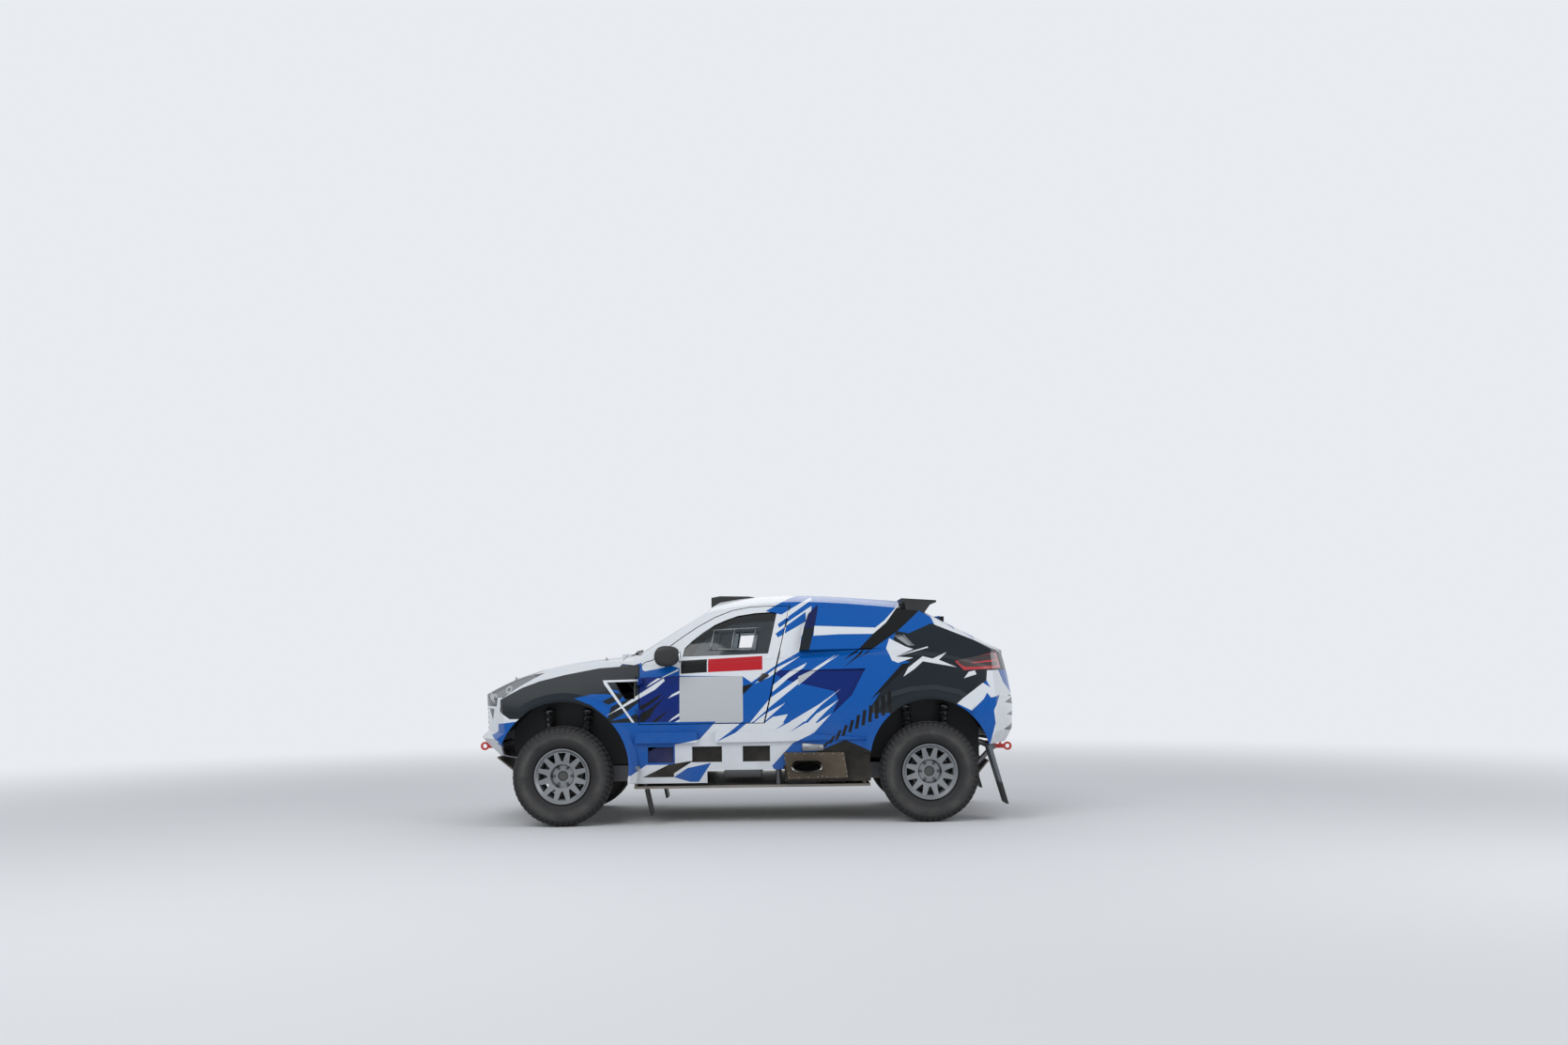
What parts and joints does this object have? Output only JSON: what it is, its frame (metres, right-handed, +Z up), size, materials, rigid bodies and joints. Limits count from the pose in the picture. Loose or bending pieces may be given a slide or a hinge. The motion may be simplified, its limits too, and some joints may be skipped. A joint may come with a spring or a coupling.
{
  "type": "rally raid car",
  "caption": "Blue and white cross-country rally car with a coupe body, tall tyres, wheels that steer and spin, and doors, bonnet and tailgate that open.",
  "frame": {"origin": "on the ground under the centre of the car's bounding box, midway between nose and tail", "axes": "+X towards the nose, +Y to the car's left, +Z up"},
  "size_m": [4.5298, 2.08, 1.8619],
  "materials": {
    "painted_panel": "satin, blue with white and dark grey stripes",
    "black_plastic": "matt",
    "tinted_glass": "tinted",
    "clear_cover": "smoked clear cover",
    "lamp_red": "red outline over a dark housing",
    "frame_steel": "satin grey paint",
    "bare_alloy": "dusty sheet",
    "cast_steel": "cast",
    "tow_red": "gloss red",
    "seat_trim": "woven trim on a moulded shell",
    "flap_rubber": "matt",
    "tyre_rubber": "dusty",
    "rim_alloy": "satin",
    "disc_iron": "turned face"
  },
  "bodies": {
    "chassis": {"body_shell": "painted_panel", "dampers": "cast_steel", "dashboard": "black_plastic", "engine_block": "bare_alloy", "exhaust_panel": "bare_alloy", "fender_left": "painted_panel", "fender_right": "painted_panel", "floor_pan": "bare_alloy", "frame_rails": "frame_steel", "front_bumper": "painted_panel", "front_suspension": "frame_steel", "headlamps": "clear_cover", "mud_flaps": "flap_rubber", "rear_bumper": "painted_panel", "rear_spoiler": "black_plastic", "rear_suspension": "frame_steel", "rear_uprights": "cast_steel", "roll_cage": "frame_steel", "roof_scoop": "black_plastic", "seats": "seat_trim", "sill_left": "painted_panel", "sill_right": "painted_panel", "skid_plates": "bare_alloy", "tail_lamps": "lamp_red", "tow_eyes": "tow_red", "wheelhouses": "black_plastic", "windscreen": "tinted_glass"},
    "bonnet": {"bonnet": "painted_panel"},
    "tailgate": {"tailgate": "painted_panel"},
    "door_left": {"door_left": "painted_panel", "window_left": "tinted_glass", "mirror_left": "black_plastic"},
    "door_right": {"door_right": "painted_panel", "window_right": "tinted_glass", "mirror_right": "black_plastic"},
    "knuckle_left": {"knuckle_front_left": "cast_steel"},
    "knuckle_right": {"knuckle_front_right": "cast_steel"},
    "steering_wheel": {"steering_wheel": "black_plastic"},
    "wheel_front_left": {"rim_front_left": "rim_alloy", "tyre_front_left": "tyre_rubber", "brake_disc_front_left": "disc_iron"},
    "wheel_front_right": {"rim_front_right": "rim_alloy", "tyre_front_right": "tyre_rubber", "brake_disc_front_right": "disc_iron"},
    "wheel_rear_left": {"rim_rear_left": "rim_alloy", "tyre_rear_left": "tyre_rubber", "brake_disc_rear_left": "disc_iron"},
    "wheel_rear_right": {"rim_rear_right": "rim_alloy", "tyre_rear_right": "tyre_rubber", "brake_disc_rear_right": "disc_iron"}
  },
  "joints": [
    {"name": "steer_left", "type": "hinge", "parent": "chassis", "child": "knuckle_left", "pos_m": [1.475, 0.735, 0.399], "axis": [0, 0, 1], "range_deg": [-28, 28]},
    {"name": "steer_right", "type": "hinge", "parent": "chassis", "child": "knuckle_right", "pos_m": [1.475, -0.735, 0.399], "axis": [0, 0, 1], "range_deg": [-28, 28]},
    {"name": "steering_wheel_turn", "type": "hinge", "parent": "chassis", "child": "steering_wheel", "pos_m": [0.33, 0.37, 1.01], "axis": [-0.9272, 0, 0.3746], "range_deg": [-392, 392]},
    {"name": "wheel_front_left_spin", "type": "hinge", "parent": "knuckle_left", "child": "wheel_front_left", "pos_m": [1.475, 0.84, 0.399], "axis": [0, 1, 0], "continuous": true},
    {"name": "wheel_front_right_spin", "type": "hinge", "parent": "knuckle_right", "child": "wheel_front_right", "pos_m": [1.475, -0.84, 0.399], "axis": [0, 1, 0], "continuous": true},
    {"name": "wheel_rear_left_spin", "type": "hinge", "parent": "chassis", "child": "wheel_rear_left", "pos_m": [-1.475, 0.84, 0.399], "axis": [0, 1, 0], "continuous": true},
    {"name": "wheel_rear_right_spin", "type": "hinge", "parent": "chassis", "child": "wheel_rear_right", "pos_m": [-1.475, -0.84, 0.399], "axis": [0, 1, 0], "continuous": true},
    {"name": "door_left_hinge", "type": "hinge", "parent": "chassis", "child": "door_left", "pos_m": [0.858, 0.952, 1.03], "axis": [0, 0, -1], "range_deg": [0, 62]},
    {"name": "door_right_hinge", "type": "hinge", "parent": "chassis", "child": "door_right", "pos_m": [0.858, -0.952, 1.03], "axis": [0, 0, 1], "range_deg": [0, 62]},
    {"name": "bonnet_hinge", "type": "hinge", "parent": "chassis", "child": "bonnet", "pos_m": [1.008, 0, 1.367], "axis": [0, -1, 0], "range_deg": [0, 50]},
    {"name": "tailgate_hinge", "type": "hinge", "parent": "chassis", "child": "tailgate", "pos_m": [-1.643, 0, 1.656], "axis": [0, 1, 0], "range_deg": [0, 70]}
  ],
  "couplings": [
    {"joint": "steer_right", "follows": "steer_left", "ratio": 1},
    {"joint": "steering_wheel_turn", "follows": "steer_left", "ratio": 14}
  ]
}
